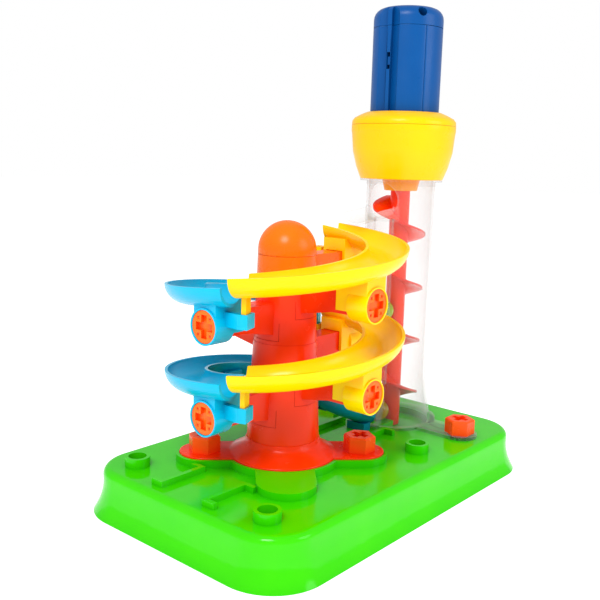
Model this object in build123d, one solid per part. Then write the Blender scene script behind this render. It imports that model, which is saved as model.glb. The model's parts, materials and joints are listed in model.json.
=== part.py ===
"""Screw-lift marble run: a column of keyed rings carries four half-turn tracks, and a screw in a
clear tube, turned by a toy driver, lifts the marbles back to the top.

Millimetres. The origin is the centre of the base's underside, +Z is up, and +X runs along the
base from the track column to the lift tube.
"""
from build123d import *
from math import cos, degrees, asin, radians, sin, sqrt
import os

# Base
BASE_LENGTH = 282.0          # top outline
BASE_WIDTH = 172.0
BASE_HEIGHT = 30.0
BASE_CORNER = 30.0
BASE_FLARE = 6.5             # how far the foot of the skirt stands out
BASE_WALL = 2.6
BASE_EDGE_ROUND = 5.0
SKIRT_HEIGHT = 21.0          # the flared part of the side
RIB_WALL = 2.2
RIB_LOW = 1.0
RIB_PLACES = (-97.0, 20.0)
SOCKET_RADIUS = 8.3
SOCKET_BORE = 5.9
SOCKET_RISE = 6.5
SOCKET_DEPTH = 15.0
SOCKET_REACH_X = 77.0        # from the column's axis
SOCKET_REACH_Y = 58.5

# Where the two towers stand
COLUMN_X = -42.0
LIFT_X = 86.0

# Raised seat under the column, and the guide ridges
SEAT_RISE = 5.0
SEAT_LOBE = 19.0             # half width of a lobe
SEAT_REACH = 53.0            # centre of a lobe's round end
SEAT_RIM = 2.5
SEAT_RECESS = 2.5
RIDGE_WIDTH = 3.2
RIDGE_RISE = 4.0
RIDGE_LENGTH = 36.0
RIDGE_HOOK = 10.0
RIDGE_LANE = 18.0            # half width of the lane between two ridges
RIDGE_LEFT_REACH = 90.0      # from the column's axis
RIDGE_RIGHT_REACH = 70.0     # from the lift's axis

# Toy bolts
HEX_BOLT_FLATS = 19.0
HEX_BOLT_RISE = 11.0
HEX_BOLT_SHANK = 6.0
HEX_BOLT_LENGTH = 15.0
BOLT_CLEARANCE = 0.3
FOOT_BOLT_REACH = 52.6
FLANGE_BOLT_REACH = 63.0
CROSS_LENGTH = 12.0
CROSS_WIDTH = 4.4
CROSS_DEPTH = 5.0
ROUND_BOLT_HEAD = 10.1
ROUND_BOLT_THICK = 3.4
ROUND_BOLT_SHANK = 4.2
ROUND_BOLT_LENGTH = 24.0
ROUND_CROSS_LENGTH = 14.4
ROUND_CROSS_WIDTH = 4.8
DIMPLE_RADIUS = 0.9
DIMPLE_REACH = 7.4

# Column
FOOT_FLARE_RADIUS = 37.0
FOOT_PLATE = 3.5
FOOT_TOP = 47.0
FOOT_EAR = SEAT_LOBE - SEAT_RIM
COLUMN_WALL = 3.0
LOWER_TIER_RADII = (24.4, 21.2)      # at the foot, at the top of the tier
UPPER_TIER_RADII = (20.9, 19.1)
LOW_BOLT_Z = 60.4            # bolt of the lowest arm
RING_ABOVE_BOLT = 10.1
KEY_DEPTH = 11.4             # how far a ring's key reaches into the ring below
KEY_HALF_ANGLE = 30.0
KEY_CLEARANCE = 0.2
CAP_RISE = 22.0
ARM_WIDTH = 14.0
ARM_ABOVE = 8.9              # above and below the bolt's axis
ARM_BELOW = 7.1
ARM_GUSSET = 5.0
ARM_END = 67.0
ARM_GUSSET_END = 44.0
ARM_COUNT = 8
COLUMN_ROOT = 17.0           # where an arm's web starts, inside its ring

# Tracks
TRACK_RADIUS = 65.0
TRACK_HALF_WIDTH = 14.1
TRACK_DEPTH = 13.0
TRACK_WALL = 2.0
TRACK_SLOPE = 0.128          # mm per degree
TRACK_BELOW_WINDOW = 18.5    # highest track's rim, below the middle of the tube's window
TRACK_ABOVE_BOLT = 24.2      # a track's rim over its first arm, above that arm's bolt
TRACK_START = 13.0           # degrees before the first arm
TRACK_END = -163.5
BRACKET_INNER = 49.0
BRACKET_WALL = 2.2
BRACKET_BELOW = 4.5          # how far the saddle hangs below the bolt's axis
BRACKET_FACE = 73.3
BOSS_RADIUS = 11.4
BOSS_DEPTH = 15.0
FIT_GAP = 0.25
TAB_ANGLE = -160.0
TAB_WIDTH = 7.0
TAB_THICK = 3.0
TAB_BOTTOM = -21.9           # seat of the end tab, below the rim of the track it rests on
POCKET_REACH = 63.0
POCKET_WALL = 1.6
POCKET_HEIGHT = 9.0

# Lift
TUBE_RADIUS = 26.0
TUBE_WALL = 1.8
TUBE_TOP = 218.0
TUBE_LIP_RADIUS = 31.0
TUBE_BELL_RADIUS = 32.5
TUBE_BELL_HEIGHT = 48.0
FLANGE_THICK = 2.5
FLANGE_RADIUS = 35.5
FLANGE_EAR = 13.0
WINDOW_RADIUS = 13.0
WINDOW_BELOW_TOP = 15.5
DOOR_HALF_WIDTH = 10.0
DOOR_HEIGHT = 30.0
HOOD_REACH = 5.0
GUIDE_RIB_WIDTH = 1.6
GUIDE_RIB_OFFSET = 7.2
GUIDE_RIB_INNER = 21.4
WELL_RADIUS = 29.5
WELL_DEPTH = 5.0
LEDGE_RISE = 1.0
LEDGE_HALF_WIDTH = 9.5

# Chutes
CHUTE_HALF_WIDTH = 9.5
CHUTE_WALL = 1.8
CHUTE_DEPTH = 11.0
CHUTE_START_RIM = 62.5
CHUTE_END_RIM = 45.0
CHUTE_LEG = 8.0
CHEEK_TOP = 71.0
CHEEK_BACK = 2.0             # how far the cheeks start before the straight part
CHUTE_POCKET_ROOT = 12.0
CLEAR_HALF_WIDTH = 11.0
CLEAR_DEPTH = 7.0
CLEAR_SLOPE = 0.12
CLEAR_CHUTE_END = 72.0       # from the column's axis
CLEAR_SADDLE_ANGLE = 34.0

# Screw and marbles
PIVOT_RADIUS = 3.0
PIVOT_LENGTH = 6.0
RUNNING_CLEARANCE = 0.06
SCREW_SHAFT = 7.4
SCREW_FLIGHT = 20.5
SCREW_PITCH = 41.5
SCREW_FLIGHT_THICK = 2.2
SCREW_BOTTOM = 33.2          # middle of the flight at its lower end
SCREW_BELOW_TOP = 14.0       # middle of the flight at its upper end, below the tube's top
SCREW_LOW_END_ANGLE = 106.9  # where the lower end of the flight points
SCREW_SHAFT_RISE = 8.0       # above the tube's top
SCREW_SOCKET_DEPTH = 10.5
MARBLE_RADIUS = 8.0
MARBLE_GAP = 0.4             # between a marble and the screw's shaft
GREEN_MARBLE_Z = 118.5

# Collar
BUSH_TOP_RADIUS = 14.3
BUSH_LOW_RADIUS = 12.4
BUSH_DROP = 8.5
COLLAR_FLOOR = 2.5
COLLAR_LOW_RADIUS = 31.0
COLLAR_RADIUS = 38.9
COLLAR_LEDGE_RISE = 22.0     # all three above the tube's top
COLLAR_SEAM_RISE = 39.5
COLLAR_RISE = 49.0
COLLAR_WALL = 2.6

# Driver
DRIVER_RADIUS = 25.5
DRIVER_LENGTH = 101.0        # from the collar's ledge up
DRIVER_CAP_RISE = 87.0
DRIVER_WALL = 2.0
DRIVER_GAP = 0.4
GROOVE_RADIUS = 15.0
GROOVE_DEPTH = 4.2
GRIP_RIB_WIDTH = 3.6
GRIP_RIB_DEPTH = 1.6         # how far the rib's face lies inside the round
CAP_ROUND = 8.0
SHELL_SPLIT_X = -11.1        # seam plane, from the driver's axis
SWITCH_RISE = 62.5
SWITCH_SLOT = 11.6
SWITCH_TRAVEL = 2.5
SWITCH_WIDTH = 3.0
CAP_SCREW_ANGLE = 57.0
CAP_SCREW_REACH = 17.5
CAP_SCREW_RISE = 2.6         # above the cap's seam
CAP_SCREW_HOLE = 3.3
NOSE_LENGTH = 9.0
BIT_SEAT = 8.0
NOSE_LIP = 3.0               # how far the nose's flange stands out
NOSE_GAP = 1.3               # between the flange and the grip's inside
CHUCK_RADIUS = 9.0
BIT_RADIUS = 5.0
BIT_BLADE = 3.0
BIT_BELOW_TOP = 2.0          # tip of the bit, below the tube's top
MOTOR_RADIUS = 10.2
MOTOR_LENGTH = 24.0
GEARBOX_GAP = 3.3            # between the gearbox and the grip's inside
GEARBOX_LENGTH = 16.0
CELL_RADIUS = 7.1
CELL_LENGTH = 49.5
CELL_SPREAD = 8.6
CELL_RISE = 46.0

# Heights and places that follow from the sizes above
BASE_TOP = BASE_HEIGHT
SEAT_FLOOR = BASE_TOP + SEAT_RISE - SEAT_RECESS
SEAT_RADIUS = FOOT_FLARE_RADIUS + SEAT_RIM
LEDGE_TOP = BASE_TOP + LEDGE_RISE
WINDOW_Z = TUBE_TOP - WINDOW_BELOW_TOP
TRACK_TOP_RIM = WINDOW_Z - TRACK_BELOW_WINDOW
TOP_BOLT_Z = TRACK_TOP_RIM - TRACK_ABOVE_BOLT
QUARTER_RISE = (TOP_BOLT_Z - LOW_BOLT_Z) / (ARM_COUNT - 1)
HALF_TURN = 2 * QUARTER_RISE
LAST_TAB_BOTTOM = TRACK_TOP_RIM - 4 * HALF_TURN + TAB_BOTTOM
BOLT_FACE = BRACKET_FACE - 0.6
EXIT_ANGLE = 180 + TRACK_END
CHUTE_TURN = TRACK_RADIUS * sin(radians(EXIT_ANGLE)) - 2
CHUTE_CORNER_X = COLUMN_X + TRACK_RADIUS * cos(radians(EXIT_ANGLE)) + CHUTE_TURN
CHUTE_END_X = LIFT_X - TUBE_BELL_RADIUS - HOOD_REACH + 2 - FIT_GAP
CHUTE_ARC = radians(90) * CHUTE_TURN
CHUTE_ARC_FALL = ((CHUTE_START_RIM - CHUTE_END_RIM) * CHUTE_ARC
                  / (CHUTE_ARC + CHUTE_END_X - CHUTE_CORNER_X))
CHUTE_MIDDLE_RIM = CHUTE_START_RIM - CHUTE_ARC_FALL
SCREW_TOP = TUBE_TOP - SCREW_BELOW_TOP
SCREW_SHAFT_TOP = TUBE_TOP + SCREW_SHAFT_RISE
MARBLE_REACH = SCREW_SHAFT + MARBLE_GAP + MARBLE_RADIUS
COLLAR_LEDGE_Z = TUBE_TOP + COLLAR_LEDGE_RISE
COLLAR_SEAM_Z = TUBE_TOP + COLLAR_SEAM_RISE
COLLAR_TOP_Z = TUBE_TOP + COLLAR_RISE
DRIVER_CAP_Z = COLLAR_LEDGE_Z + DRIVER_CAP_RISE
DRIVER_TOP_Z = COLLAR_LEDGE_Z + DRIVER_LENGTH
SWITCH_Z = COLLAR_LEDGE_Z + SWITCH_RISE
CAP_SCREW_Z = DRIVER_CAP_Z + CAP_SCREW_RISE
BIT_TIP_Z = TUBE_TOP - BIT_BELOW_TOP
CELL_LOW = COLLAR_LEDGE_Z + CELL_RISE
GROOVE_FLOOR = DRIVER_RADIUS - GROOVE_DEPTH
DRIVER_ROOM = GROOVE_FLOOR - DRIVER_WALL
NOSE_RADIUS = DRIVER_ROOM - NOSE_GAP - NOSE_LIP
GEARBOX_RADIUS = DRIVER_ROOM - GEARBOX_GAP
UP = (Align.CENTER, Align.CENTER, Align.MIN)
COLUMN = Pos(COLUMN_X, 0, 0)
LIFT = Pos(LIFT_X, 0, 0)

os.makedirs("parts", exist_ok=True)


def save(shape, name):
    """Write one sub-part."""
    export_step(shape, f"parts/{name}.step")


def post(radius, low, high):
    """An upright cylinder on the Z axis between two heights."""
    return Pos(0, 0, low) * Cylinder(radius, high - low, align=UP)


def block(x0, x1, y0, y1, z0, z1):
    """A box between two corners."""
    return Pos((x0 + x1) / 2, (y0 + y1) / 2, (z0 + z1) / 2) * Box(x1 - x0, y1 - y0, z1 - z0)


def turned(*points):
    """A solid of revolution about Z from a closed outline of (radius, height) points."""
    outline = make_face(Polyline(*[(r, 0, z) for r, z in points], close=True))
    return revolve(outline, Axis.Z)


def radial_rod(radius, start, end, z):
    """A cylinder along +X between two distances from the axis."""
    return Pos(start, 0, z) * Rot(0, 90, 0) * Cylinder(radius, end - start, align=UP)


def sector(half_angle, reach, z0, z1):
    """A wedge about +X, used to cut or keep part of a ring."""
    side = reach / cos(radians(half_angle))
    corner = (side * cos(radians(half_angle)), side * sin(radians(half_angle)))
    outline = make_face(Polyline((0, 0), corner, (corner[0], -corner[1]), close=True))
    return Pos(0, 0, z0) * extrude(outline, z1 - z0)


def lobe(half_width, reach, z0, z1):
    """A flat-sided lobe from the axis along +X with a round end."""
    straight = block(0, reach, -half_width, half_width, z0, z1)
    return straight + Pos(reach, 0, 0) * post(half_width, z0, z1)


def cross_recess(top, length=CROSS_LENGTH, width=CROSS_WIDTH, depth=CROSS_DEPTH):
    """The plus-shaped recess that the driver's bit fits."""
    one = block(-length / 2, length / 2, -width / 2, width / 2, top - depth, top + 1)
    return one + Rot(0, 0, 90) * one


# ---------------------------------------------------------------- base
def base_outline(grow):
    """The base's plan, grown outwards by a distance."""
    return RectangleRounded(BASE_LENGTH + 2 * grow, BASE_WIDTH + 2 * grow, BASE_CORNER + grow)


def base_block(inset, top):
    """The base's outer form, or the hollow inside it when inset."""
    steps = 4
    sections = []
    for i in range(steps + 1):
        share = i / steps
        grow = BASE_FLARE * (1 - share) ** 2 - inset
        sections.append(Pos(0, 0, SKIRT_HEIGHT * share) * base_outline(grow))
    skirt = loft(sections)
    upper = Pos(0, 0, SKIRT_HEIGHT) * extrude(base_outline(-inset), top - SKIRT_HEIGHT)
    return skirt, upper


def ridge_pair(x_start):
    """Two low hooked ridges that guide marbles along a lane parallel to X."""
    pair = None
    for side in (-1, 1):
        y = side * RIDGE_LANE
        x_end = x_start + RIDGE_LENGTH
        top = BASE_TOP + RIDGE_RISE
        low = BASE_TOP - 1
        y0, y1 = sorted((y, y + side * RIDGE_WIDTH))
        hook0, hook1 = sorted((y, y + side * RIDGE_HOOK))
        ridge = block(x_start, x_end, y0, y1, low, top)
        ridge += block(x_start, x_start + RIDGE_WIDTH, hook0, hook1, low, top)
        ridge += block(x_end - RIDGE_WIDTH, x_end, hook0, hook1, low, top)
        pair = ridge if pair is None else pair + ridge
    return pair


def foot_plan(clearance, z0, z1):
    """The plan of the column's foot plate: a disc with two bolt ears."""
    plan = post(FOOT_FLARE_RADIUS + clearance, z0, z1)
    for angle in (135, -45):
        plan += Rot(0, 0, angle) * lobe(FOOT_EAR + clearance, SEAT_REACH, z0, z1)
    return plan


def bolt_places():
    """Where the four hex bolts stand, with the height that each head rests on."""
    ear_top = BASE_TOP + SEAT_RISE - SEAT_RECESS + FOOT_PLATE
    for angle in (135, -45):
        reach = FOOT_BOLT_REACH
        x = COLUMN_X + reach * cos(radians(angle))
        yield "foot", x, reach * sin(radians(angle)), ear_top
    for side in (-1, 1):
        yield "flange", LIFT_X, side * FLANGE_BOLT_REACH, BASE_TOP + FLANGE_THICK


def socket_places():
    """The four sockets stand in a rectangle about the column."""
    for sx in (-1, 1):
        for sy in (-1, 1):
            yield COLUMN_X + sx * SOCKET_REACH_X, sy * SOCKET_REACH_Y


def base_recess():
    """Everything sunk into the base: the foot's seat, the tube's well, sockets and bolt holes."""
    cut = COLUMN * foot_plan(FIT_GAP, SEAT_FLOOR, BASE_TOP + SEAT_RISE + 1)
    cut += LIFT * post(WELL_RADIUS, BASE_TOP - WELL_DEPTH, BASE_TOP + 1)
    pivot = PIVOT_RADIUS + RUNNING_CLEARANCE
    cut += LIFT * post(pivot, BASE_TOP - WELL_DEPTH - PIVOT_LENGTH - 1, BASE_TOP)
    for x, y in socket_places():
        top = BASE_TOP + SOCKET_RISE
        cut += Pos(x, y, 0) * post(SOCKET_BORE, top - SOCKET_DEPTH, top + 1)
    for _, x, y, rest in bolt_places():
        hole = HEX_BOLT_SHANK + BOLT_CLEARANCE
        cut += Pos(x, y, 0) * post(hole, rest - HEX_BOLT_LENGTH - 1, rest + 1)
    return cut


def base_bosses():
    """Bosses above and below the deck, with the two cross ribs of the underside."""
    low_deck = BASE_TOP - BASE_WALL
    added = COLUMN * post(SEAT_RADIUS, low_deck, BASE_TOP + SEAT_RISE)
    for angle in (45, 135, 225, 315):
        turn = COLUMN * Rot(0, 0, angle)
        added += turn * lobe(SEAT_LOBE, SEAT_REACH, low_deck, BASE_TOP + SEAT_RISE)
    for x, y in socket_places():
        top = BASE_TOP + SOCKET_RISE
        added += Pos(x, y, 0) * post(SOCKET_RADIUS, top - SOCKET_DEPTH - BASE_WALL, top)
    for _, x, y, rest in bolt_places():
        boss = HEX_BOLT_SHANK + BOLT_CLEARANCE + BASE_WALL
        added += Pos(x, y, 0) * post(boss, rest - HEX_BOLT_LENGTH - 2, low_deck + 1)
    well_low = BASE_TOP - WELL_DEPTH - BASE_WALL
    added += LIFT * post(WELL_RADIUS + BASE_WALL, well_low, BASE_TOP)
    pivot_low = BASE_TOP - WELL_DEPTH - PIVOT_LENGTH - BASE_WALL
    added += LIFT * post(PIVOT_RADIUS + BASE_WALL, pivot_low, well_low + 1)
    half = BASE_WIDTH / 2 - BASE_WALL + 1
    for x in RIB_PLACES:
        added += block(x - RIB_WALL / 2, x + RIB_WALL / 2, -half, half, RIB_LOW, low_deck + 1)
    added += ridge_pair(COLUMN_X - RIDGE_LEFT_REACH)
    added += ridge_pair(LIFT_X - RIDGE_RIGHT_REACH)
    return added


def make_base():
    skirt, upper = base_block(0, BASE_TOP)
    deck_edges = upper.faces().sort_by(Axis.Z)[-1].edges()
    upper = fillet(deck_edges, BASE_EDGE_ROUND)
    hollow_skirt, hollow_upper = base_block(BASE_WALL, BASE_TOP - BASE_WALL)
    base = skirt + upper - hollow_skirt - hollow_upper
    base += base_bosses()
    base -= base_recess()
    ledge_low = BASE_TOP - WELL_DEPTH
    inner = SCREW_SHAFT + 1.5
    ledge = block(-WELL_RADIUS - 0.5, -inner, -LEDGE_HALF_WIDTH, LEDGE_HALF_WIDTH, ledge_low, LEDGE_TOP)
    return base + LIFT * (ledge & post(WELL_RADIUS + 0.5, ledge_low, LEDGE_TOP))


# ---------------------------------------------------------------- bolts
def hex_bolt(x, y, rest):
    """A chunky toy bolt: hexagonal head with a plus recess, and a ringed shank."""
    corner = HEX_BOLT_FLATS / sqrt(3)
    head = extrude(RegularPolygon(corner, 6), HEX_BOLT_RISE)
    head = chamfer(head.faces().sort_by(Axis.Z)[-1].edges(), 1.0)
    bolt = head - cross_recess(HEX_BOLT_RISE)
    bolt += post(HEX_BOLT_SHANK - 0.6, -HEX_BOLT_LENGTH, 0)
    turns = 5
    for i in range(turns):
        low = -HEX_BOLT_LENGTH + 1.2 + i * (HEX_BOLT_LENGTH - 2) / turns
        bolt += post(HEX_BOLT_SHANK, low, low + 1.3)
    return Pos(x, y, rest) * bolt


def round_bolt():
    """The track bolt on the +X axis: round head in the bracket's boss, shank into the arm."""
    face = BOLT_FACE
    head = radial_rod(ROUND_BOLT_HEAD, face - ROUND_BOLT_THICK, face, 0)
    head += radial_rod(ROUND_BOLT_SHANK, face - ROUND_BOLT_LENGTH, face, 0)
    recess = cross_recess(0, ROUND_CROSS_LENGTH, ROUND_CROSS_WIDTH, ROUND_BOLT_THICK - 1)
    head -= Pos(face, 0, 0) * Rot(0, 90, 0) * recess
    for angle in (45, 135, 225, 315):
        y = DIMPLE_REACH * cos(radians(angle))
        z = DIMPLE_REACH * sin(radians(angle))
        head -= Pos(0, y, 0) * radial_rod(DIMPLE_RADIUS, face - 1.5, face + 1, z)
    return head


# ---------------------------------------------------------------- column
def arm_turn(index):
    """Arms follow each other a quarter turn clockwise, going down; arm 0 is the highest."""
    return COLUMN * Rot(0, 0, -90 * index)


def ring_top(index):
    return TOP_BOLT_Z + RING_ABOVE_BOLT - QUARTER_RISE * index


def arm(bolt_z):
    """A web along +X, deeper at the column, with the bolt's bore along it."""
    low = bolt_z - ARM_BELOW
    side = make_face(Polyline(
        (COLUMN_ROOT, 0, bolt_z + ARM_ABOVE), (ARM_END, 0, bolt_z + ARM_ABOVE), (ARM_END, 0, low),
        (ARM_GUSSET_END, 0, low), (COLUMN_ROOT, 0, low - ARM_GUSSET), close=True))
    web = extrude(side, ARM_WIDTH / 2, both=True)
    bore = ROUND_BOLT_SHANK + FIT_GAP
    return web - radial_rod(bore, BRACKET_FACE - ROUND_BOLT_LENGTH - 3, ARM_END + 1, bolt_z)


def column_ring(index, radii, tier_low, tier_high):
    """One keyed ring, built with its own arm along +X."""
    def radius_at(z):
        share = (z - tier_low) / (tier_high - tier_low)
        return radii[0] + (radii[1] - radii[0]) * share

    top = ring_top(index)
    seat = top - QUARTER_RISE
    last = index == ARM_COUNT - 1
    low = FOOT_TOP if last else seat - KEY_DEPTH
    outer = turned((0, low), (radius_at(low), low), (radius_at(top), top), (0, top))
    ring = outer - post(radii[1] - COLUMN_WALL, low - 1, top + 1)
    if not last:
        skirt = post(FOOT_FLARE_RADIUS, low - 1, seat)
        skirt -= sector(KEY_HALF_ANGLE, 2 * FOOT_FLARE_RADIUS, low - 2, seat + 1)
        ring -= skirt
    if index > 0:
        notch = sector(KEY_HALF_ANGLE + degrees(asin(KEY_CLEARANCE / radii[1])),
                       2 * FOOT_FLARE_RADIUS, top - KEY_DEPTH - KEY_CLEARANCE, top + 1)
        ring -= Rot(0, 0, 90) * notch
    bolt_z = top - RING_ABOVE_BOLT
    return ring + arm(bolt_z)


def make_foot():
    """Flared foot with two bolt ears, hollow like the rings above it."""
    low = SEAT_FLOOR
    plate = low + FOOT_PLATE
    neck = LOWER_TIER_RADII[0] + 0.4
    flare = FOOT_FLARE_RADIUS - neck
    steps = 5
    outline = [(0, low), (FOOT_FLARE_RADIUS, low), (FOOT_FLARE_RADIUS, plate)]
    for i in range(1, steps + 1):
        share = i / steps
        outline.append((neck + flare * (1 - share) ** 2, plate + (FOOT_TOP - plate) * share))
    outline.append((0, FOOT_TOP))
    foot = turned(*outline) + foot_plan(0, low, plate)
    foot -= post(LOWER_TIER_RADII[1] - COLUMN_WALL, low - 1, FOOT_TOP + 1)
    for angle in (135, -45):
        place = Rot(0, 0, angle) * Pos(FOOT_BOLT_REACH, 0, 0)
        foot -= place * post(HEX_BOLT_SHANK + BOLT_CLEARANCE, low - 1, plate + 1)
    return foot


def make_cap():
    """Domed cap with a spigot inside the top ring."""
    low = ring_top(0)
    radius = UPPER_TIER_RADII[1]
    dome = Pos(0, 0, low + CAP_RISE - radius) * Sphere(radius)
    cap = (dome & post(radius, low + CAP_RISE - radius, low + CAP_RISE + 1))
    cap += post(radius, low, low + CAP_RISE - radius)
    inner = radius - COLUMN_WALL
    cap += post(inner - FIT_GAP, low - 4, low)
    hollow = Pos(0, 0, low + CAP_RISE - radius) * Sphere(inner - 1)
    return cap - (hollow & post(inner, low, low + CAP_RISE)) - post(inner - 3, low - 5, low + 1)


# ---------------------------------------------------------------- tracks
def rim_drop(angle):
    """Height of the rim at an angle, below the rim over the track's first arm."""
    return TRACK_SLOPE * angle


def helical(profile, low_angle, high_angle):
    """Sweep an upright section, drawn at +X, up a right-handed helix between two angles."""
    turn = high_angle - low_angle
    helix = Edge.make_helix(360 * TRACK_SLOPE, turn * TRACK_SLOPE, TRACK_RADIUS)
    body = sweep(profile, path=helix, is_frenet=True)
    return Rot(0, 0, low_angle) * Pos(0, 0, rim_drop(low_angle)) * body


def trough_section(half_width, depth, above):
    """Lower half of an ellipse about the origin, with straight sides above if asked for."""
    section = Ellipse(half_width, depth)
    section -= Pos(0, depth) * Rectangle(4 * half_width, 2 * depth)
    if above:
        section += Pos(0, above / 2) * Rectangle(2 * half_width, above)
    return section


def trough_profile(half_width, depth, above):
    """A trough's section standing at the track's radius on +X."""
    return Plane.XZ * (Pos(TRACK_RADIUS, 0) * trough_section(half_width, depth, above))


def make_track():
    """One half-turn track with its two brackets; the rim over the first arm is at height 0."""
    outer = trough_profile(TRACK_HALF_WIDTH, TRACK_DEPTH, 0)
    inner = trough_profile(TRACK_HALF_WIDTH - TRACK_WALL, TRACK_DEPTH - TRACK_WALL, 3)
    track = helical(outer, TRACK_END, TRACK_START)
    track += bracket(-TRACK_ABOVE_BOLT, rim_drop(0)) + pocket(ARM_WIDTH / 2 + FIT_GAP + 0.5)
    second = bracket(-TRACK_ABOVE_BOLT - QUARTER_RISE, rim_drop(-90))
    track += Rot(0, 0, -90) * second
    tab_top = rim_drop(TAB_ANGLE) - TRACK_DEPTH / 2
    tab = block(POCKET_REACH - TAB_WIDTH / 2, POCKET_REACH + TAB_WIDTH / 2,
                -TAB_THICK / 2, TAB_THICK / 2, TAB_BOTTOM - HALF_TURN, tab_top)
    track += Rot(0, 0, TAB_ANGLE) * tab
    track -= helical(inner, TRACK_END - 3, TRACK_START + 3)
    return track


def bracket(bolt_z, rim):
    """Saddle over an arm on +X: a sleeve under the trough, and the round boss for the bolt."""
    top = rim - TRACK_DEPTH / 2
    slot_half = ARM_WIDTH / 2 + FIT_GAP
    half = slot_half + BRACKET_WALL
    boss_start = BRACKET_FACE - BOSS_DEPTH
    saddle = block(BRACKET_INNER, boss_start + 1, -half, half, bolt_z - BRACKET_BELOW, top)
    saddle += block(boss_start, BRACKET_FACE - 1, -half, half, bolt_z, top)
    saddle += radial_rod(BOSS_RADIUS, boss_start, BRACKET_FACE, bolt_z)
    saddle -= block(BRACKET_INNER - 1, ARM_END + FIT_GAP, -slot_half, slot_half,
                    bolt_z - ARM_BELOW - FIT_GAP, bolt_z + ARM_ABOVE + FIT_GAP)
    seat = ROUND_BOLT_HEAD + 0.2
    saddle -= radial_rod(seat, BOLT_FACE - ROUND_BOLT_THICK, BRACKET_FACE + 1, bolt_z)
    return saddle - radial_rod(ROUND_BOLT_SHANK + FIT_GAP, ARM_END, BRACKET_FACE, bolt_z)


def pocket(root):
    """Open-topped pocket for the end tab of the track above, on a link that starts at y = root."""
    angle = 180 + TAB_ANGLE
    half_long = TAB_WIDTH / 2 + FIT_GAP
    half_short = TAB_THICK / 2 + FIT_GAP
    low = TAB_BOTTOM - POCKET_WALL - 0.2
    top = low + POCKET_HEIGHT
    turn = Rot(0, 0, angle)
    body = turn * block(POCKET_REACH - half_long - POCKET_WALL, POCKET_REACH + half_long + POCKET_WALL,
                        -half_short - POCKET_WALL, half_short + POCKET_WALL, low, top)
    reach = POCKET_REACH * sin(radians(angle))
    link = block(POCKET_REACH - 2, POCKET_REACH + 2, root, reach, low, top)
    hole = turn * block(POCKET_REACH - half_long, POCKET_REACH + half_long,
                        -half_short, half_short, TAB_BOTTOM - 0.2, top + 1)
    return body + link - hole


def place_track(shape, level):
    """Put a track, or its bolts, at one of the four half-turn levels; level 0 is the highest."""
    return COLUMN * Pos(0, 0, TRACK_TOP_RIM - HALF_TURN * level) * Rot(0, 0, 180 * level) * shape


def track_bolts():
    """The two bolts of one track, in the track's own frame."""
    first = Pos(0, 0, -TRACK_ABOVE_BOLT) * round_bolt()
    second = Rot(0, 0, -90) * Pos(0, 0, -TRACK_ABOVE_BOLT - QUARTER_RISE) * round_bolt()
    return [first, second]


# ---------------------------------------------------------------- exit chute
def u_channel(half_width, depth, above):
    """A U section: round floor at -depth, straight sides up past the rim."""
    centre = half_width - depth
    section = Pos(0, centre) * Circle(half_width)
    section -= Pos(0, centre + half_width) * Rectangle(4 * half_width, 2 * half_width)
    return section + Pos(0, (above + centre) / 2) * Rectangle(2 * half_width, above - centre)


def chute_bend(half_width, depth, above, over):
    """The chute's quarter turn from -Y to +X; over lengthens its upper end, in degrees."""
    fall = CHUTE_ARC_FALL * (1 + over / 90)
    helix = Edge.make_helix(4 * CHUTE_ARC_FALL, fall, CHUTE_TURN, lefthand=True)
    section = Plane.XZ * (Pos(CHUTE_TURN, 0) * u_channel(half_width, depth, above))
    body = sweep(section, path=helix, is_frenet=True)
    return Pos(CHUTE_CORNER_X, CHUTE_TURN, CHUTE_MIDDLE_RIM) * Rot(0, 0, 270) * body


def chute_run(half_width, depth, above, x0, x1):
    """The chute's straight part along +X between two places."""
    slope = (CHUTE_MIDDLE_RIM - CHUTE_END_RIM) / (CHUTE_END_X - CHUTE_CORNER_X)
    section = Plane.YZ * u_channel(half_width, depth, above)
    ends = [Pos(x, 0, CHUTE_MIDDLE_RIM - slope * (x - CHUTE_CORNER_X)) * section for x in (x0, x1)]
    return loft(ends)


def chute_cheek():
    """Side outline of the tall cheeks that keep a falling marble over the chute."""
    back = CHUTE_CORNER_X - CHEEK_BACK
    low = CHUTE_END_RIM - CHUTE_DEPTH / 2
    outline = [(back, 0, CHUTE_MIDDLE_RIM - CHUTE_DEPTH / 2), (back, 0, CHEEK_TOP)]
    reach = CHUTE_END_X - back
    steps = 8
    for i in range(steps + 1):
        angle = radians(90 * i / steps)
        outline.append((CHUTE_END_X - reach * 0.8 * (1 - sin(angle)), 0,
                        low + (CHEEK_TOP - low) * cos(angle)))
    return make_face(Polyline(*outline, close=True))


def make_exit_chute():
    """Blue chute that turns the marbles from the lowest track towards the tube's doorway."""
    outer = CHUTE_HALF_WIDTH + CHUTE_WALL
    depth = CHUTE_DEPTH + CHUTE_WALL
    chute = chute_bend(outer, depth, 0, 0)
    chute += chute_run(outer, depth, 0, CHUTE_CORNER_X, CHUTE_END_X)
    for side in (-1, 1):
        y = side * (CHUTE_HALF_WIDTH + CHUTE_WALL / 2)
        chute += Pos(0, y, 0) * extrude(chute_cheek(), CHUTE_WALL / 2, both=True)
    leg_end = CHUTE_END_X - 2
    chute += block(leg_end - CHUTE_LEG, leg_end, -CHUTE_LEG, CHUTE_LEG,
                   BASE_TOP, CHUTE_END_RIM - CHUTE_DEPTH + 2)
    chute += COLUMN * Pos(0, 0, LAST_TAB_BOTTOM - TAB_BOTTOM) * pocket(CHUTE_POCKET_ROOT)
    hollow = chute_bend(CHUTE_HALF_WIDTH, CHUTE_DEPTH, CHEEK_TOP, 4)
    hollow += chute_run(CHUTE_HALF_WIDTH, CHUTE_DEPTH, CHEEK_TOP, CHUTE_CORNER_X, CHUTE_END_X + 1)
    return chute - hollow


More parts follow.
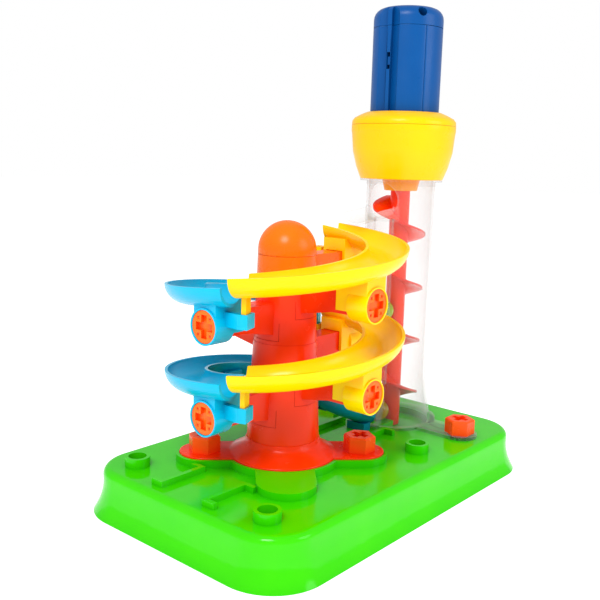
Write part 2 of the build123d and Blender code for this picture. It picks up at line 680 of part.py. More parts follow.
# ---------------------------------------------------------------- lift
def bell_radius(z):
    """Outside radius of the tube: straight, then flaring down to the flange."""
    share = max(0.0, (BASE_TOP + TUBE_BELL_HEIGHT - z) / TUBE_BELL_HEIGHT)
    return TUBE_RADIUS + (TUBE_BELL_RADIUS - TUBE_RADIUS) * share ** 2


def tube_form(inset, low, high):
    """The tube's outside, or its bore when inset."""
    steps = 8
    outline = [(0, low)]
    for i in range(steps + 1):
        z = low + (BASE_TOP + TUBE_BELL_HEIGHT - low) * i / steps
        outline.append((bell_radius(z) - inset, z))
    outline += [(TUBE_RADIUS - inset, high), (0, high)]
    return turned(*outline)


def doorway(half_width, height, x0, x1, low):
    """An arched tunnel along X through the tube's -X side."""
    arch = Pos(x0, 0, low + height - half_width) * Rot(0, 90, 0) * Cylinder(
        half_width, x1 - x0, align=UP)
    return arch + block(x0, x1, -half_width, half_width, low, low + height - half_width)


def make_tube():
    """Clear lift tube with bell foot, bolt flange, doorway hood, window and guide ribs."""
    low = BASE_TOP
    tube = tube_form(0, low, TUBE_TOP)
    tube += post(FLANGE_RADIUS, low, low + FLANGE_THICK)
    tube += post(TUBE_LIP_RADIUS, TUBE_TOP - 1.5, TUBE_TOP)
    for angle in (90, -90):
        tube += Rot(0, 0, angle) * lobe(FLANGE_EAR, FLANGE_BOLT_REACH, low, low + FLANGE_THICK)
    hood_front = -(TUBE_BELL_RADIUS + HOOD_REACH - 2)
    door_low = low + FLANGE_THICK
    tube += doorway(DOOR_HALF_WIDTH + TUBE_WALL, DOOR_HEIGHT + TUBE_WALL, hood_front,
                    -TUBE_RADIUS + 4, low)
    tube -= tube_form(TUBE_WALL, low - 1, TUBE_TOP + 1)
    tube -= doorway(DOOR_HALF_WIDTH, DOOR_HEIGHT, hood_front - 1, -TUBE_RADIUS + 5, door_low)
    tube -= Pos(-TUBE_RADIUS - 5, 0, WINDOW_Z) * Rot(0, 90, 0) * Cylinder(
        WINDOW_RADIUS, 15, align=UP)
    rib_low = door_low + DOOR_HEIGHT
    rib_top = WINDOW_Z - WINDOW_RADIUS - 0.5
    for side in (-1, 1):
        y0 = side * GUIDE_RIB_OFFSET
        y1 = side * (GUIDE_RIB_OFFSET + GUIDE_RIB_WIDTH)
        rib = block(-TUBE_RADIUS + TUBE_WALL, -GUIDE_RIB_INNER + 3, min(y0, y1), max(y0, y1),
                    rib_low, rib_top)
        tube += rib - post(GUIDE_RIB_INNER, rib_low - 1, rib_top + 1)
    for angle in (90, -90):
        place = Rot(0, 0, angle) * Pos(FLANGE_BOLT_REACH, 0, 0)
        tube -= place * post(HEX_BOLT_SHANK + BOLT_CLEARANCE, low - 1, low + FLANGE_THICK + 1)
    return LIFT * tube


def make_clear_chute():
    """Clear chute from the window down onto the top of the highest track."""
    inner = CLEAR_HALF_WIDTH
    outer = inner + TUBE_WALL
    x0 = -TUBE_RADIUS - FIT_GAP / 2
    x1 = COLUMN_X + CLEAR_CHUTE_END - LIFT_X
    high = WINDOW_Z - WINDOW_RADIUS + 0.8 + CLEAR_DEPTH
    fall = CLEAR_SLOPE * (x0 - x1)

    def run(half_width, depth, above, start, end):
        z_start = high - CLEAR_SLOPE * (x0 - start)
        z_end = high - CLEAR_SLOPE * (x0 - end)
        section = Plane.YZ * trough_section(half_width, depth, above)
        return loft([Pos(end, 0, z_end) * section, Pos(start, 0, z_start) * section])

    chute = run(outer, CLEAR_DEPTH + TUBE_WALL, 0, -TUBE_RADIUS + 6, x1)
    saddle = post(TUBE_RADIUS + FIT_GAP / 2 + TUBE_WALL, high - CLEAR_DEPTH - 3, high + 1)
    chute += saddle & sector(CLEAR_SADDLE_ANGLE, 2 * TUBE_RADIUS, 0, TUBE_TOP).mirror(Plane.YZ)
    chute -= post(TUBE_RADIUS + FIT_GAP / 2, 0, TUBE_TOP)
    chute -= run(inner, CLEAR_DEPTH, 20, -TUBE_RADIUS + 8, x1 - 2)
    return LIFT * chute


def make_screw():
    """Left-handed lifting screw: shaft, flight, pivot below and a plus socket on top."""
    height = SCREW_TOP - SCREW_BOTTOM
    middle = (SCREW_SHAFT + SCREW_FLIGHT) / 2
    helix = Edge.make_helix(SCREW_PITCH, height, middle, lefthand=True)
    root = SCREW_SHAFT - 1.5
    half = SCREW_FLIGHT_THICK / 2
    section = make_face(Polyline(
        (root, 0, -half - 0.5), (SCREW_FLIGHT, 0, -half + 0.3), (SCREW_FLIGHT, 0, half - 0.3),
        (root, 0, half + 0.5), close=True))
    flight = sweep(section, path=helix, is_frenet=True)
    flight = Pos(0, 0, SCREW_BOTTOM) * Rot(0, 0, SCREW_LOW_END_ANGLE) * flight
    shaft_low = BASE_TOP - WELL_DEPTH + 0.3
    screw = post(SCREW_SHAFT, shaft_low, SCREW_SHAFT_TOP) + flight
    screw += post(PIVOT_RADIUS, shaft_low - PIVOT_LENGTH + 0.5, shaft_low + 1)
    return LIFT * (screw - cross_recess(SCREW_SHAFT_TOP, depth=SCREW_SOCKET_DEPTH))


def make_marble(z):
    return LIFT * Pos(-MARBLE_REACH, 0, z) * Sphere(MARBLE_RADIUS)


# ---------------------------------------------------------------- collar
def make_bush():
    """Tapered bush under the collar that steadies the top of the screw."""
    floor = TUBE_TOP + COLLAR_FLOOR
    bore = SCREW_SHAFT + RUNNING_CLEARANCE
    low = TUBE_TOP - BUSH_DROP
    flange = BUSH_TOP_RADIUS + 2.5
    return LIFT * turned((bore, low), (BUSH_LOW_RADIUS, low), (BUSH_TOP_RADIUS, TUBE_TOP),
                         (BUSH_TOP_RADIUS, floor), (flange, floor), (flange, floor + 1.5),
                         (bore, floor + 1.5))


def make_collar_bowl():
    """Lower half of the collar: a bowl on the tube's lip, with the ledge for the driver."""
    low = TUBE_TOP
    floor = low + COLLAR_FLOOR
    hole = BUSH_TOP_RADIUS + 0.1
    ledge_hole = DRIVER_RADIUS - 3.5
    belly = COLLAR_SEAM_Z - 7
    outer = [(COLLAR_LOW_RADIUS, low), (COLLAR_LOW_RADIUS + 3.5, low + 9),
             (COLLAR_LOW_RADIUS + 6.3, low + 20), (COLLAR_RADIUS - 0.5, belly),
             (COLLAR_RADIUS, belly + 3), (COLLAR_RADIUS, COLLAR_SEAM_Z)]
    wall = COLLAR_WALL
    ledge_low = COLLAR_LEDGE_Z - COLLAR_FLOOR
    inner = [(COLLAR_RADIUS - wall, COLLAR_SEAM_Z), (COLLAR_RADIUS - wall, belly),
             (COLLAR_LOW_RADIUS + 4.4 - wall + 1, COLLAR_LEDGE_Z), (ledge_hole, COLLAR_LEDGE_Z),
             (ledge_hole, ledge_low), (COLLAR_LOW_RADIUS + 3.6 - wall + 1, ledge_low),
             (COLLAR_LOW_RADIUS + 0.4 - wall, floor), (hole, floor), (hole, low)]
    return LIFT * turned(*outer, *inner)


def make_collar_ring():
    """Upper half of the collar: the shoulder that closes round the driver."""
    low = COLLAR_SEAM_Z
    top = COLLAR_TOP_Z
    bore = DRIVER_RADIUS + DRIVER_GAP
    wall = COLLAR_WALL
    return LIFT * turned(
        (COLLAR_RADIUS, low), (COLLAR_RADIUS - 0.3, low + 3), (COLLAR_RADIUS - 2, low + 5.2),
        (COLLAR_RADIUS - 6.5, low + 7.6), (bore + 2, top), (bore, top), (bore, top - wall),
        (COLLAR_RADIUS - 7 - wall, low + 5.4 - 1), (COLLAR_RADIUS - wall, low))


# ---------------------------------------------------------------- driver
def driver_section(inset):
    """The handle's section: round, with a groove down each side and a rib in each groove."""
    section = Circle(DRIVER_RADIUS - inset)
    centre = DRIVER_RADIUS - GROOVE_DEPTH + GROOVE_RADIUS
    for side in (-1, 1):
        section -= Pos(side * centre, 0) * Circle(GROOVE_RADIUS + inset)
    if inset == 0:
        reach = DRIVER_RADIUS - GRIP_RIB_DEPTH
        for side in (-1, 1):
            section += Pos(side * (reach - GROOVE_DEPTH / 2), 0) * Rectangle(
                GROOVE_DEPTH, GRIP_RIB_WIDTH)
    return section


def handle_block(inset, low, high):
    return Pos(0, 0, low) * extrude(driver_section(inset), high - low)


def front_half(shape, keep_front):
    """Split a handle piece at the seam plane."""
    reach = 2 * DRIVER_RADIUS
    if keep_front:
        box = block(-reach, SHELL_SPLIT_X - FIT_GAP / 2, -reach, reach, 0, 2 * DRIVER_TOP_Z)
    else:
        box = block(SHELL_SPLIT_X + FIT_GAP / 2, reach, -reach, reach, 0, 2 * DRIVER_TOP_Z)
    return shape & box


def handle_shell():
    low = COLLAR_LEDGE_Z
    shell = handle_block(0, low, DRIVER_CAP_Z)
    shell -= handle_block(DRIVER_WALL, low + DRIVER_WALL, DRIVER_CAP_Z + 1)
    shell -= post(NOSE_RADIUS + 0.1, low - 1, low + DRIVER_WALL + 1)
    return shell


def make_front_shell():
    shell = front_half(handle_shell(), True)
    slot = SWITCH_SLOT / 2
    width = SWITCH_WIDTH / 2
    return LIFT * (shell - block(-DRIVER_RADIUS - 1, -GROOVE_FLOOR + DRIVER_WALL + 1, -width, width,
                                 SWITCH_Z - slot, SWITCH_Z + slot))


def make_switch():
    """Direction switch: a slim thumb piece in the rib's slot on a plate inside the shell."""
    half = (SWITCH_SLOT - 2 * SWITCH_TRAVEL) / 2 - 0.4
    width = SWITCH_WIDTH / 2 - 0.2
    inner = -GROOVE_FLOOR + DRIVER_WALL + 0.4
    thumb = block(-DRIVER_RADIUS + GRIP_RIB_DEPTH + 0.8, inner + 1, -width, width,
                  SWITCH_Z - half, SWITCH_Z + half)
    plate = block(inner, inner + 1.5, -3.2, 3.2, SWITCH_Z - half - 2, SWITCH_Z + half + 2)
    return LIFT * (thumb + plate)


def cap_screw_turn(side):
    """Frame of a cap screw: on the cap's shoulder, pointing out and up."""
    return (Rot(0, 0, 180 + side * CAP_SCREW_ANGLE) * Pos(CAP_SCREW_REACH, 0, CAP_SCREW_Z)
            * Rot(0, 45, 0))


def make_end_cap():
    cap = handle_block(0, DRIVER_CAP_Z + FIT_GAP / 2, DRIVER_TOP_Z)
    rounded = turned((0, DRIVER_CAP_Z), (DRIVER_RADIUS, DRIVER_CAP_Z),
                     (DRIVER_RADIUS, DRIVER_TOP_Z - CAP_ROUND), *cap_arc(), (0, DRIVER_TOP_Z))
    solid = cap & rounded
    hollow = handle_block(DRIVER_WALL, DRIVER_CAP_Z - 1, DRIVER_TOP_Z - DRIVER_WALL - 1)
    hollow = hollow & turned((0, 0), (DRIVER_RADIUS - DRIVER_WALL, 0),
                             (DRIVER_RADIUS - DRIVER_WALL, DRIVER_TOP_Z - CAP_ROUND - 1),
                             (DRIVER_RADIUS - CAP_ROUND, DRIVER_TOP_Z - DRIVER_WALL - 1),
                             (0, DRIVER_TOP_Z - DRIVER_WALL - 1))
    shell = solid - hollow
    for side in (-1, 1):
        boss = cap_screw_turn(side) * post(CAP_SCREW_HOLE + 1.5, -3, 12)
        shell += boss & solid
        shell -= cap_screw_turn(side) * post(CAP_SCREW_HOLE, 0, 14)
    cell_room = post(CELL_RADIUS + FIT_GAP, DRIVER_CAP_Z - 1, CELL_LOW + CELL_LENGTH + FIT_GAP)
    for side in (-1, 1):
        shell -= Pos(0, side * CELL_SPREAD, 0) * cell_room
    return LIFT * shell


def cap_arc():
    """Points round the cap's shoulder, from the side to the top."""
    steps = 6
    centre = (DRIVER_RADIUS - CAP_ROUND, DRIVER_TOP_Z - CAP_ROUND)
    for i in range(1, steps + 1):
        angle = radians(90 * i / steps)
        yield centre[0] + CAP_ROUND * cos(angle), centre[1] + CAP_ROUND * sin(angle)


def make_cap_screws():
    screws = []
    for side in (-1, 1):
        head = post(CAP_SCREW_HOLE - 0.3, 0, 1.8)
        slot = block(-2, 2, -0.4, 0.4, 1.0, 3)
        screws.append(LIFT * cap_screw_turn(side) * (head - slot - Rot(0, 0, 90) * slot))
    return Compound(children=screws)


def make_nose():
    """Fixed nose of the driver, with the bore that the chuck turns in."""
    bore = CHUCK_RADIUS + RUNNING_CLEARANCE
    low = COLLAR_LEDGE_Z - NOSE_LENGTH
    flange_low = COLLAR_LEDGE_Z + DRIVER_WALL
    return LIFT * turned((bore, low), (NOSE_RADIUS - 2, low), (NOSE_RADIUS, low + 2),
                         (NOSE_RADIUS, flange_low), (NOSE_RADIUS + NOSE_LIP, flange_low),
                         (NOSE_RADIUS + NOSE_LIP, flange_low + 1.5), (bore, flange_low + 1.5))


def make_chuck():
    low = COLLAR_LEDGE_Z - NOSE_LENGTH - 2
    chuck = post(CHUCK_RADIUS, low, COLLAR_LEDGE_Z + DRIVER_WALL + 1)
    return LIFT * (chuck - post(BIT_RADIUS + 0.1, low - 1, low + BIT_SEAT))


def make_bit():
    """Plus-shaped bit with a round shank seated in the chuck."""
    low = COLLAR_LEDGE_Z - NOSE_LENGTH - 2
    blade = block(-BIT_RADIUS, BIT_RADIUS, -BIT_BLADE / 2, BIT_BLADE / 2, BIT_TIP_Z, low - 0.5)
    bit = blade + Rot(0, 0, 90) * blade
    return LIFT * (bit + post(BIT_RADIUS, low - 1.5, low + BIT_SEAT))


def make_gearbox():
    low = COLLAR_LEDGE_Z + DRIVER_WALL + 2
    body = post(GEARBOX_RADIUS, low, low + GEARBOX_LENGTH)
    return LIFT * (body - post(3, low - 1, low + 3))


def make_motor():
    low = COLLAR_LEDGE_Z + DRIVER_WALL + 2 + GEARBOX_LENGTH
    can = post(MOTOR_RADIUS, low, low + MOTOR_LENGTH)
    flat = MOTOR_RADIUS * 0.76
    return LIFT * (can & block(-flat, flat, -MOTOR_RADIUS, MOTOR_RADIUS, low, low + MOTOR_LENGTH))


def make_cells():
    """Two cells side by side, each with its raised contact."""
    cells = []
    low = CELL_LOW
    for side in (-1, 1):
        cell = post(CELL_RADIUS, low, low + CELL_LENGTH - 1)
        cell += post(2.7, low + CELL_LENGTH - 1, low + CELL_LENGTH)
        cells.append(LIFT * Pos(0, side * CELL_SPREAD, 0) * cell)
    return Compound(children=cells)


def make_contact_plate():
    plate = post(CELL_SPREAD + CELL_RADIUS, CELL_LOW - 1.5, CELL_LOW)
    half = CELL_RADIUS
    return LIFT * (plate & block(-half, half, -DRIVER_RADIUS, DRIVER_RADIUS, 0, DRIVER_TOP_Z))


# ---------------------------------------------------------------- write the parts
save(make_base(), "base")
save(COLUMN * make_foot(), "column_foot")
save(COLUMN * make_cap(), "column_cap")
for tower in ("foot", "flange"):
    pair = [hex_bolt(x, y, rest) for name, x, y, rest in bolt_places() if name == tower]
    save(Compound(children=pair), f"{tower}_bolts")

SIDES = ("right", "front", "left", "rear")
tier_split = ring_top(4)
for index in range(ARM_COUNT):
    if index < 4:
        ring = column_ring(index, UPPER_TIER_RADII, tier_split, ring_top(0))
        tier = "upper"
    else:
        ring = column_ring(index, LOWER_TIER_RADII, FOOT_TOP, tier_split)
        tier = "lower"
    save(arm_turn(index) * ring, f"{tier}_ring_{SIDES[index % 4]}")

track = make_track()
for level, name in enumerate(("upper_yellow", "upper_blue", "lower_yellow", "lower_blue")):
    save(place_track(track, level), f"{name}_track")
    bolts = [place_track(bolt, level) for bolt in track_bolts()]
    save(Compound(children=bolts), f"{name}_bolts")

save(make_exit_chute(), "exit_chute")
save(make_tube(), "lift_tube")
save(make_clear_chute(), "clear_chute")
save(make_screw(), "lifting_screw")
save(make_bush(), "screw_bush")
save(make_collar_bowl(), "collar_bowl")
save(make_collar_ring(), "collar_ring")
save(make_front_shell(), "driver_front_shell")
save(LIFT * front_half(handle_shell(), False), "driver_rear_shell")
save(make_end_cap(), "driver_end_cap")
save(make_cap_screws(), "end_cap_screws")
save(make_switch(), "direction_switch")
save(make_nose(), "driver_nose")
save(make_chuck(), "driver_chuck")
save(make_bit(), "driver_bit")
save(make_gearbox(), "driver_gearbox")
save(make_motor(), "driver_motor")
save(make_cells(), "battery_cells")
save(make_contact_plate(), "battery_contact_plate")
save(make_marble(GREEN_MARBLE_Z), "green_marble")
save(make_marble(LEDGE_TOP + MARBLE_RADIUS + 0.05), "yellow_marble")
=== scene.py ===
"""Looks of the screw-lift marble run: glossy moulded toy plastic, a clear lift tube and marbles.

Metres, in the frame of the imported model: the origin is the centre of the base's underside, +Z is
up, and +X runs along the base from the track column to the lift tube.
"""

import json
from math import cos, radians, sin

import bmesh
import bpy
from mathutils import Matrix, Vector


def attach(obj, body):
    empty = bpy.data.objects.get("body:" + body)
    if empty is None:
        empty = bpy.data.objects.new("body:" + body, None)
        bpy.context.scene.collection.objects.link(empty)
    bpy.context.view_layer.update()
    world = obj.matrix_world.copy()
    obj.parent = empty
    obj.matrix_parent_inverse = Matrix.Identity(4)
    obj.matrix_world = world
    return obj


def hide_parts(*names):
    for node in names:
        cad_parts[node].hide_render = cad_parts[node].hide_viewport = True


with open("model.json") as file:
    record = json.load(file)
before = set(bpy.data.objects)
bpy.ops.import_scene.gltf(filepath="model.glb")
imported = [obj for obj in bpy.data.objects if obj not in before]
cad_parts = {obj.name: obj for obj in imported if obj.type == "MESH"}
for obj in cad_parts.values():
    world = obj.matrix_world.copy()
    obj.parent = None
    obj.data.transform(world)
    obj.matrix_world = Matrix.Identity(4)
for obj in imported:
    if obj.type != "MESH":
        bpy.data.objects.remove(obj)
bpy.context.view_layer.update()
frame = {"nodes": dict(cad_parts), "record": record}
scene = bpy.context.scene
scene.view_settings.view_transform = "Standard"

MM = 0.001

ROOM_LIGHT = 0.62            # how strongly the white room lights the toy
KEY_PLACE, KEY_SIZE, KEY_WATTS = (-0.75, -0.35, 0.95), 0.45, 9
FILL_PLACE, FILL_SIZE, FILL_WATTS = (0.35, -0.95, 0.55), 0.6, 3
LAMPS_AIM = (0, 0, 0.14)     # the middle of the toy
FLOOR_REACH = 6.0            # from the middle of the floor to each side
FLOOR_DROP = 0.0002          # keeps the floor just clear of the toy's underside
FLOOR_GLOW = 0.55            # how strongly the table is lit from below

FLOW_SIZE = 28 * MM          # where pigment flowed unevenly in the mould
PAINTED_SHADE_REACH = 9 * MM        # how near two walls must be for the painted shade in their corner
HANDLING_SIZE = 9 * MM       # patches that fingers have dulled
RIPPLE_SIZE = 1.6 * MM       # left by the mould's polish, drawn much coarser than it is
WAVE_SIZE = 14 * MM          # slow waves in clear plastic
SWIRL_SIZE = 40 * MM         # one turn of pigment in a marble
SCUFF_SIZE = 2 * MM          # where marbles have rubbed
DRAWN_LINE = 0.8 * MM        # lines in rolled sheet, drawn much coarser than they are
PAPER_TOOTH = 2 * MM         # drawn coarser than real paper's

WELD = 0.02 * MM             # corners of a node's triangles closer than this are one corner
SHARP = radians(32)          # a moulding's edge, as against the facets of a round wall
CREASED = radians(40)        # an edge that still shades as a corner once it is rounded
SHORTEST_EDGE = 0.3 * MM     # shorter edges are too small to round
EDGE_STEPS = 2               # strips of faces round each edge


# ---------------------------------------------------------------- camera, light and floor
def place_camera():
    """The viewing angle: from the front left, a little above the tracks, with a slight tilt."""
    position = Vector((-0.4338, -0.3490, 0.2318))
    azimuth, pitch, roll = radians(40.69), radians(9.97), radians(1.58)
    ahead = Vector((cos(azimuth) * cos(pitch), sin(azimuth) * cos(pitch), -sin(pitch)))
    level = Vector((sin(azimuth), -cos(azimuth), 0))
    upright = level.cross(ahead)
    right = cos(roll) * level + sin(roll) * upright
    up = cos(roll) * upright - sin(roll) * level
    data = bpy.data.cameras.new("camera")
    data.sensor_width = 36.0
    data.lens = 48.52
    camera = bpy.data.objects.new("camera", data)
    turn = Matrix((right, up, -ahead)).transposed().to_4x4()
    camera.matrix_world = Matrix.Translation(position) @ turn
    scene.collection.objects.link(camera)
    scene.camera = camera


def area_light(name, position, size, watts):
    """A round soft lamp that points at the middle of the toy."""
    data = bpy.data.lights.new(name, "AREA")
    data.shape = "DISK"
    data.size = size
    data.energy = watts
    lamp = bpy.data.objects.new(name, data)
    aim = (Vector(LAMPS_AIM) - Vector(position)).to_track_quat("-Z", "Y")
    lamp.matrix_world = Matrix.Translation(position) @ aim.to_matrix().to_4x4()
    scene.collection.objects.link(lamp)


def light_studio():
    """A white room: it shows white behind the object and lights it a little less than it shows.
    One large soft key stands at the upper left, and a weaker fill at the right."""
    world = bpy.data.worlds.new("studio")
    world.use_nodes = True
    tree = world.node_tree
    seen = add_node(tree, "ShaderNodeLightPath")
    strength = add_node(tree, "ShaderNodeMapRange", {"To Min": ROOM_LIGHT, "To Max": 1.0},
                        {"Value": seen.outputs["Is Camera Ray"]})
    background = tree.nodes["Background"]
    background.inputs["Color"].default_value = (1, 1, 1, 1)
    tree.links.new(strength.outputs["Result"], background.inputs["Strength"])
    scene.world = world
    area_light("key", KEY_PLACE, KEY_SIZE, KEY_WATTS)
    area_light("fill", FILL_PLACE, FILL_SIZE, FILL_WATTS)


def lay_floor():
    """A plain white floor under the toy."""
    mesh = bpy.data.meshes.new("floor")
    bm = bmesh.new()
    bmesh.ops.create_grid(bm, x_segments=1, y_segments=1, size=FLOOR_REACH)
    bmesh.ops.translate(bm, verts=bm.verts, vec=(0, 0, -FLOOR_DROP))
    bm.to_mesh(mesh)
    bm.free()
    floor = bpy.data.objects.new("floor", mesh)
    scene.collection.objects.link(floor)
    floor.data.materials.append(studio_paper())


# ---------------------------------------------------------------- materials
def linear(code):
    """A colour from its sRGB hex code, as the linear values that shaders take."""
    channels = [int(code[i:i + 2], 16) / 255 for i in (1, 3, 5)]
    return tuple(c / 12.92 if c <= 0.04045 else ((c + 0.055) / 1.055) ** 2.4
                 for c in channels) + (1.0,)


def add_node(tree, kind, settings=None, links=None):
    """Add a node: settings by attribute or input name, links as input name to output socket."""
    node = tree.nodes.new(kind)
    for key, value in (settings or {}).items():
        if hasattr(node, key):
            setattr(node, key, value)
        else:
            node.inputs[key].default_value = value
    for key, socket in (links or {}).items():
        tree.links.new(socket, node.inputs[key])
    return node


def new_material(name):
    """A named material, with its node tree and its Principled shader."""
    material = bpy.data.materials.new(name)
    material.use_nodes = True
    tree = material.node_tree
    shader = tree.nodes["Principled BSDF"]
    return material, tree, shader


def studio_paper():
    """A lit table of opal acrylic under white paper: matt, white, with a faint tooth."""
    material, tree, shader = new_material("studio paper on a lit table")
    place = add_node(tree, "ShaderNodeTexCoord")
    tooth = add_node(tree, "ShaderNodeTexNoise", {"Scale": 1 / PAPER_TOOTH},
                     {"Vector": place.outputs["Object"]})
    bump = add_node(tree, "ShaderNodeBump", {"Strength": 0.1, "Distance": 0.05 * MM},
                    {"Height": tooth.outputs["Fac"]})
    tree.links.new(bump.outputs["Normal"], shader.inputs["Normal"])
    shader.inputs["Base Color"].default_value = linear("#F2F2F2")
    shader.inputs["Roughness"].default_value = 0.9
    shader.inputs["Emission Color"].default_value = linear("#FFFFFF")
    shader.inputs["Emission Strength"].default_value = FLOOR_GLOW
    return material


def moulded_plastic(name, pale, deep, painted_shade, roughness=0.2, grain=0.3):
    """Injection-moulded ABS in one pigment.

    The pigment flows a little unevenly in the mould, so the colour drifts between two close
    tones over some centimetres. In corners and creases the colour is deepened to a third,
    darker tone: painted shade, standing in for the light that bounces between two walls of the
    same colour. The polished mould leaves a gloss that is never quite even, and a ripple far
    finer than a millimetre, drawn coarse enough to break up the highlights.
    """
    material, tree, shader = new_material(name)
    place = add_node(tree, "ShaderNodeTexCoord")
    flow = add_node(tree, "ShaderNodeTexNoise", {"Scale": 1 / FLOW_SIZE, "Detail": 2.0},
                    {"Vector": place.outputs["Object"]})
    tone = add_node(tree, "ShaderNodeMix", {"data_type": "RGBA"})
    tree.links.new(flow.outputs["Fac"], tone.inputs["Factor"])
    tone.inputs["A"].default_value = linear(deep)
    tone.inputs["B"].default_value = linear(pale)
    # Painted shade: ambient occlusion deepens the colour to the third, darker tone in corners and
    # creases.
    painted_corner_shade = add_node(tree, "ShaderNodeAmbientOcclusion", {"samples": 8, "Distance": PAINTED_SHADE_REACH})
    colour = add_node(tree, "ShaderNodeMix", {"data_type": "RGBA"})
    tree.links.new(painted_corner_shade.outputs["AO"], colour.inputs["Factor"])
    colour.inputs["A"].default_value = linear(painted_shade)
    tree.links.new(tone.outputs["Result"], colour.inputs["B"])
    tree.links.new(colour.outputs["Result"], shader.inputs["Base Color"])
    handling = add_node(tree, "ShaderNodeTexNoise", {"Scale": 1 / HANDLING_SIZE, "Detail": 5.0},
                        {"Vector": place.outputs["Object"]})
    gloss = add_node(tree, "ShaderNodeMapRange",
                     {"To Min": roughness * 0.75, "To Max": roughness * 1.35},
                     {"Value": handling.outputs["Fac"]})
    tree.links.new(gloss.outputs["Result"], shader.inputs["Roughness"])
    ripple = add_node(tree, "ShaderNodeTexNoise", {"Scale": 1 / RIPPLE_SIZE, "Detail": 3.0},
                      {"Vector": place.outputs["Object"]})
    bump = add_node(tree, "ShaderNodeBump", {"Strength": grain, "Distance": 0.02 * MM},
                    {"Height": ripple.outputs["Fac"]})
    tree.links.new(bump.outputs["Normal"], shader.inputs["Normal"])
    shader.inputs["IOR"].default_value = 1.53
    shader.inputs["Specular IOR Level"].default_value = 0.18
    return material


def clear_plastic():
    """Clear polystyrene, moulded and polished: nearly unseen face on, and a grey line at its
    edges, where the eye looks along the wall. It carries slow waves from the mould."""
    material, tree, shader = new_material("clear polystyrene, polished")
    place = add_node(tree, "ShaderNodeTexCoord")
    facing = add_node(tree, "ShaderNodeLayerWeight", {"Blend": 0.25})
    wall = add_node(tree, "ShaderNodeMapRange", {"To Min": 0.05, "To Max": 0.5},
                    {"Value": facing.outputs["Facing"]})
    tree.links.new(wall.outputs["Result"], shader.inputs["Alpha"])
    wave = add_node(tree, "ShaderNodeTexNoise", {"Scale": 1 / WAVE_SIZE, "Detail": 2.0},
                    {"Vector": place.outputs["Object"]})
    bump = add_node(tree, "ShaderNodeBump", {"Strength": 0.4, "Distance": 0.05 * MM},
                    {"Height": wave.outputs["Fac"]})
    tree.links.new(bump.outputs["Normal"], shader.inputs["Normal"])
    tint = add_node(tree, "ShaderNodeMix", {"data_type": "RGBA"})
    tree.links.new(wave.outputs["Fac"], tint.inputs["Factor"])
    tint.inputs["A"].default_value = linear("#CED2D1")
    tint.inputs["B"].default_value = linear("#DADCDB")
    tree.links.new(tint.outputs["Result"], shader.inputs["Base Color"])
    shader.inputs["Roughness"].default_value = 0.05
    shader.inputs["IOR"].default_value = 1.59
    return material


def marble_acrylic(name, light, dark):
    """Cast acrylic, tumbled to a polish: light goes some way in, so the ball glows at its rim,
    and a swirl of denser pigment turns through it."""
    material, tree, shader = new_material(name)
    place = add_node(tree, "ShaderNodeTexCoord")
    swirl = add_node(tree, "ShaderNodeTexWave",
                     {"Scale": 1 / SWIRL_SIZE, "Distortion": 6.0, "Detail": 2.0},
                     {"Vector": place.outputs["Object"]})
    tone = add_node(tree, "ShaderNodeMix", {"data_type": "RGBA"})
    tree.links.new(swirl.outputs["Fac"], tone.inputs["Factor"])
    tone.inputs["A"].default_value = linear(dark)
    tone.inputs["B"].default_value = linear(light)
    tree.links.new(tone.outputs["Result"], shader.inputs["Base Color"])
    scuff = add_node(tree, "ShaderNodeTexNoise", {"Scale": 1 / SCUFF_SIZE, "Detail": 4.0},
                     {"Vector": place.outputs["Object"]})
    gloss = add_node(tree, "ShaderNodeMapRange", {"To Min": 0.04, "To Max": 0.14},
                     {"Value": scuff.outputs["Fac"]})
    tree.links.new(gloss.outputs["Result"], shader.inputs["Roughness"])
    shader.inputs["IOR"].default_value = 1.49
    shader.inputs["Transmission Weight"].default_value = 0.35
    return material


def plated_metal(name, light, dark, roughness):
    """Zinc-plated sheet steel: a grey mirror dulled by fine drawing lines along its height."""
    material, tree, shader = new_material(name)
    place = add_node(tree, "ShaderNodeTexCoord")
    lines = add_node(tree, "ShaderNodeMapping", {"Scale": (1, 1, 0.05)},
                     {"Vector": place.outputs["Object"]})
    drawn = add_node(tree, "ShaderNodeTexNoise", {"Scale": 1 / DRAWN_LINE, "Detail": 3.0},
                     {"Vector": lines.outputs["Vector"]})
    tone = add_node(tree, "ShaderNodeMix", {"data_type": "RGBA"})
    tree.links.new(drawn.outputs["Fac"], tone.inputs["Factor"])
    tone.inputs["A"].default_value = linear(dark)
    tone.inputs["B"].default_value = linear(light)
    tree.links.new(tone.outputs["Result"], shader.inputs["Base Color"])
    gloss = add_node(tree, "ShaderNodeMapRange",
                     {"To Min": roughness * 0.8, "To Max": roughness * 1.3},
                     {"Value": drawn.outputs["Fac"]})
    tree.links.new(gloss.outputs["Result"], shader.inputs["Roughness"])
    shader.inputs["Metallic"].default_value = 1.0
    return material
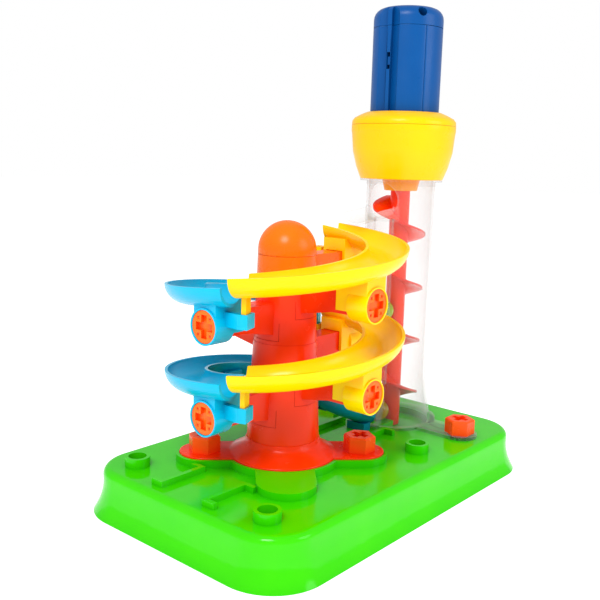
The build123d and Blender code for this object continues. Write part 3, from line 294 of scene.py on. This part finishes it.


# Each moulding takes a name, two tones that drift at random, the painted shade for its corners and
# creases, and a roughness.
MATERIALS = {
    "base_green": moulded_plastic(
        "ABS, lime green, moulded", "#42D400", "#34CA00", "#14AC00", 0.1),
    "column_red": moulded_plastic(
        "ABS, orange red, moulded", "#FF3A04", "#FA3200", "#E41C00", 0.24),
    "dome_orange": moulded_plastic(
        "ABS, orange, moulded", "#FF7606", "#FA6800", "#EC4C00", 0.26),
    "bolt_orange": moulded_plastic(
        "ABS, bright orange, moulded", "#FF7412", "#FF680C", "#F82000", 0.25),
    "bolt_vermilion": moulded_plastic(
        "ABS, vermilion, moulded", "#FF5A14", "#FC4C0C", "#F01C00", 0.25),
    "track_yellow": moulded_plastic(
        "ABS, yellow, moulded", "#FFDA00", "#FFCC00", "#FF9C00", 0.22),
    "track_blue": moulded_plastic(
        "ABS, sky blue, moulded", "#00BCE2", "#00B2DA", "#0096C4", 0.22),
    "chute_blue": moulded_plastic(
        "ABS, teal, moulded", "#089CB4", "#048AA0", "#006880", 0.22),
    "clear_plastic": clear_plastic(),
    "collar_yellow": moulded_plastic(
        "ABS, warm yellow, moulded", "#FFCA00", "#FFC000", "#FF9400", 0.28),
    # Painted shade: the bush is yellow like the collar, and is drawn amber, darker than the
    # collar, for the shadow it sits in behind the clear tube.
    "bush_orange": moulded_plastic(
        "ABS, yellow in painted shade, moulded", "#FFAE00", "#F89C00", "#E87000", 0.22),
    "driver_blue": moulded_plastic(
        "ABS, deep blue, satin", "#005096", "#00488A", "#002E66", 0.3),
    "dark_plastic": moulded_plastic(
        "ABS, black, moulded", "#1E1E22", "#141416", "#08080A", 0.35),
    "can_metal": plated_metal("sheet steel, zinc plated", "#C4C6C8", "#A2A4A8", 0.3),
    "screw_steel": plated_metal("steel screw, nickel plated", "#B0AEA8", "#8C8A86", 0.35),
    "marble_green": marble_acrylic("acrylic, lime, polished", "#B8E010", "#8CC400"),
    "marble_amber": marble_acrylic("acrylic, amber, polished", "#D8B010", "#A88400"),
}
SLOTS = {part["node"]: part["material_slot"] for part in frame["record"]["subparts"]}
FINISHES = {**SLOTS, "foot_bolts": "bolt_vermilion", "flange_bolts": "bolt_vermilion"}
BODY_OF = {node: body for body, nodes in frame["record"]["behaviour"]["bodies"].items()
           for node in nodes}

# ---------------------------------------------------------------- moulded pieces
def moulding(node, radius):
    """A copy of a node whose sharp edges are rounded to a radius, as a moulded piece's are."""
    bm = bmesh.new()
    bm.from_mesh(frame["nodes"][node].data)
    bmesh.ops.remove_doubles(bm, verts=bm.verts, dist=WELD)
    edges = [edge for edge in bm.edges
             if len(edge.link_faces) == 2 and edge.calc_face_angle(0) > SHARP
             and edge.calc_length() > SHORTEST_EDGE]
    bmesh.ops.bevel(bm, geom=edges, affect="EDGES", offset=radius, segments=EDGE_STEPS,
                    profile=0.5, clamp_overlap=True, material=-1)
    for face in bm.faces:
        face.smooth = True
    mesh = bpy.data.meshes.new(f"{node}_moulding")
    bm.to_mesh(mesh)
    bm.free()
    mesh.set_sharp_from_angle(angle=CREASED)
    piece = bpy.data.objects.new(f"{node}_moulding", mesh)
    scene.collection.objects.link(piece)
    even = piece.modifiers.new("even shading", "WEIGHTED_NORMAL")
    even.keep_sharp = True
    mesh.materials.append(MATERIALS[FINISHES[node]])
    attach(piece, BODY_OF[node])
    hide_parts(node)


# The radius of each moulding's edges, in millimetres
EDGE_RADII = {
    "base": 0.6, "column_foot": 0.6, "column_cap": 0.5, "foot_bolts": 0.5, "flange_bolts": 0.5,
    "exit_chute": 0.35, "lift_tube": 0.3, "clear_chute": 0.3, "lifting_screw": 0.3,
    "collar_bowl": 0.5, "collar_ring": 0.5, "driver_front_shell": 0.7, "driver_rear_shell": 0.7,
    "driver_end_cap": 0.7, "direction_switch": 0.3,
}
EDGE_RADII.update({node: 0.5 for node in SLOTS if "_ring_" in node})
EDGE_RADII.update({node: 0.45 for node in SLOTS if node.endswith("_track")})
EDGE_RADII.update({node: 0.4 for node in SLOTS if node.endswith(("yellow_bolts", "blue_bolts"))})


def dress_nodes():
    """Give every node of the frame its slot's material."""
    for name, node in frame["nodes"].items():
        node.data.materials.clear()
        node.data.materials.append(MATERIALS[FINISHES[name]])


# ---------------------------------------------------------------- build the scene
place_camera()
light_studio()
lay_floor()
dress_nodes()
for node, radius in EDGE_RADII.items():
    moulding(node, radius * MM)
